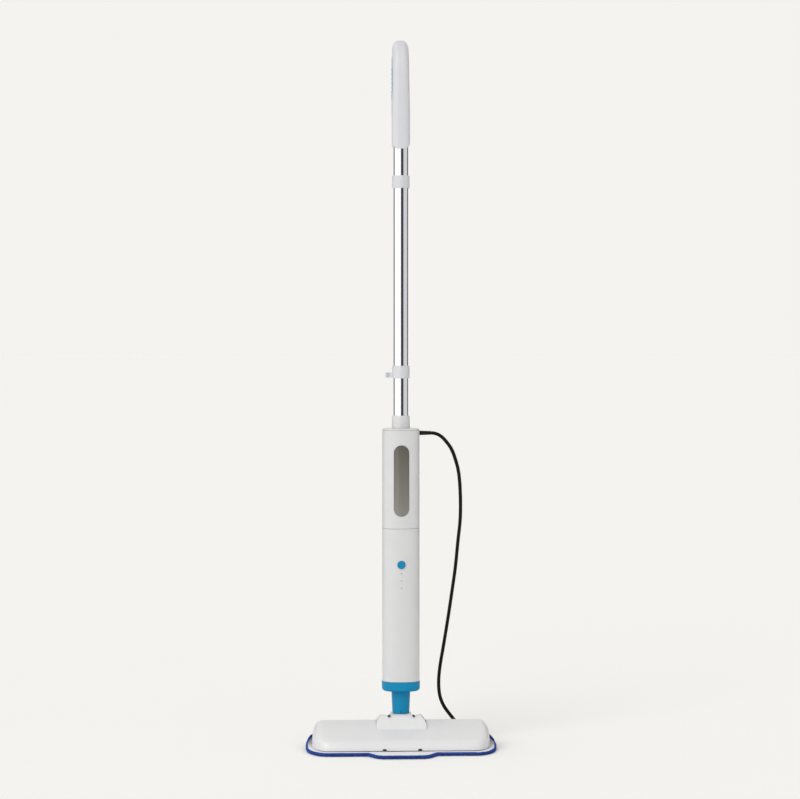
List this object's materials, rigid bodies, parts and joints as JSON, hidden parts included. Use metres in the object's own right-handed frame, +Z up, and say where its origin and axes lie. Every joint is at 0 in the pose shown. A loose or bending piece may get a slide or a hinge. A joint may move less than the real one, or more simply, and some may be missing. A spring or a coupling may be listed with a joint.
{
  "type": "steam mop",
  "caption": "Upright steam mop: chromed pole with loop handle and cord hooks, slim body with water window, hinged floor head with a microfibre pad, mains cord.",
  "frame": {"origin": "on the floor, on the axis of the pole, at the middle of the pad's underside", "axes": "+Z up along the pole, -Y towards the front of the mop, +X towards the side on which the cord leaves"},
  "size_m": [0.324, 0.2875, 1.2],
  "materials": {
    "white_plastic": "satin moulded plastic",
    "blue_plastic": "satin moulded plastic",
    "blue_grip": "soft-touch grip",
    "chrome": "polished chrome plate",
    "grey_window": "smoked see-through plastic",
    "clear_tank": "natural see-through plastic",
    "grey_lens": "frosted lens",
    "black_plastic": "satin moulded plastic",
    "black_cord": "flexible sheath",
    "black_rubber": "matt",
    "steel": "bright steel",
    "brass": "drawn",
    "aluminium": "cast",
    "green_board": "solder mask",
    "silicone": "translucent",
    "hook_tape": "hook tape",
    "pad_fabric": "microfibre pile with a white woven upper face"
  },
  "bodies": {
    "main_unit": {"handle_left_shell": "white_plastic", "handle_right_shell": "white_plastic", "grip_insert": "blue_grip", "handle_screw_upper": "steel", "handle_screw_lower": "steel", "upper_tube": "chrome", "lower_tube": "chrome", "tube_joiner": "black_plastic", "neck_collar": "white_plastic", "top_lid": "white_plastic", "tank_housing": "white_plastic", "tank_window": "grey_window", "water_tank": "clear_tank", "filler_pin": "steel", "lower_housing_front": "white_plastic", "lower_housing_rear": "white_plastic", "button_bezel": "white_plastic", "button_spring": "steel", "tact_switch": "black_plastic", "led_lens_1": "grey_lens", "led_lens_2": "grey_lens", "led_lens_3": "grey_lens", "control_board": "green_board", "pump": "black_plastic", "inlet_hose": "silicone", "water_hose": "silicone", "boiler": "aluminium", "thermostat": "steel", "steam_hose": "silicone", "terminal_block": "silicone", "base_cap": "blue_plastic", "stem": "blue_plastic", "stem_knuckle": "white_plastic", "roll_pin": "steel", "cord_gland": "black_plastic", "power_cord": "black_cord", "cord_coil": "black_cord", "plug_body": "black_plastic", "plug_pin_left": "brass", "plug_pin_right": "brass"},
    "upper_hook_ring": {"upper_hook": "white_plastic"},
    "lower_hook_ring": {"lower_hook": "white_plastic"},
    "filler_flap": {"filler_cap": "white_plastic", "filler_seal": "black_rubber"},
    "button": {"power_button": "blue_plastic"},
    "yoke": {"hinge_yoke": "black_plastic"},
    "head": {"pitch_pin_left": "steel", "pitch_pin_right": "steel", "hinge_housing": "white_plastic", "head_cover": "white_plastic", "base_plate": "black_plastic", "steam_gasket": "silicone", "steam_chamber": "aluminium", "base_screw_1": "steel", "base_screw_2": "steel", "base_screw_3": "steel", "base_screw_4": "steel", "velcro_front": "hook_tape", "velcro_rear": "hook_tape", "mop_pad": "pad_fabric"}
  },
  "joints": [
    {"name": "stem_roll", "type": "hinge", "parent": "main_unit", "child": "yoke", "pos_m": [0, 0, 0.045], "axis": [0, 1, 0], "range_deg": [-30, 30]},
    {"name": "head_pitch", "type": "hinge", "parent": "yoke", "child": "head", "pos_m": [0, 0, 0.033], "axis": [1, 0, 0], "range_deg": [0, 70]},
    {"name": "upper_hook_turn", "type": "hinge", "parent": "main_unit", "child": "upper_hook_ring", "pos_m": [0, 0, 0.9585], "axis": [0, 0, 1], "continuous": true},
    {"name": "lower_hook_turn", "type": "hinge", "parent": "main_unit", "child": "lower_hook_ring", "pos_m": [0, 0, 0.6385], "axis": [0, 0, 1], "continuous": true},
    {"name": "filler_cap_open", "type": "hinge", "parent": "main_unit", "child": "filler_flap", "pos_m": [0, 0.0302, 0.4842], "axis": [-1, 0, 0], "range_deg": [0, 95]},
    {"name": "power_button_press", "type": "slide", "parent": "main_unit", "child": "button", "axis": [0, 1, 0], "range_m": [0, 0.0015], "stiffness_N_per_m": 800, "springref_m": -0.0006, "deforming": ["button_spring"]}
  ]
}
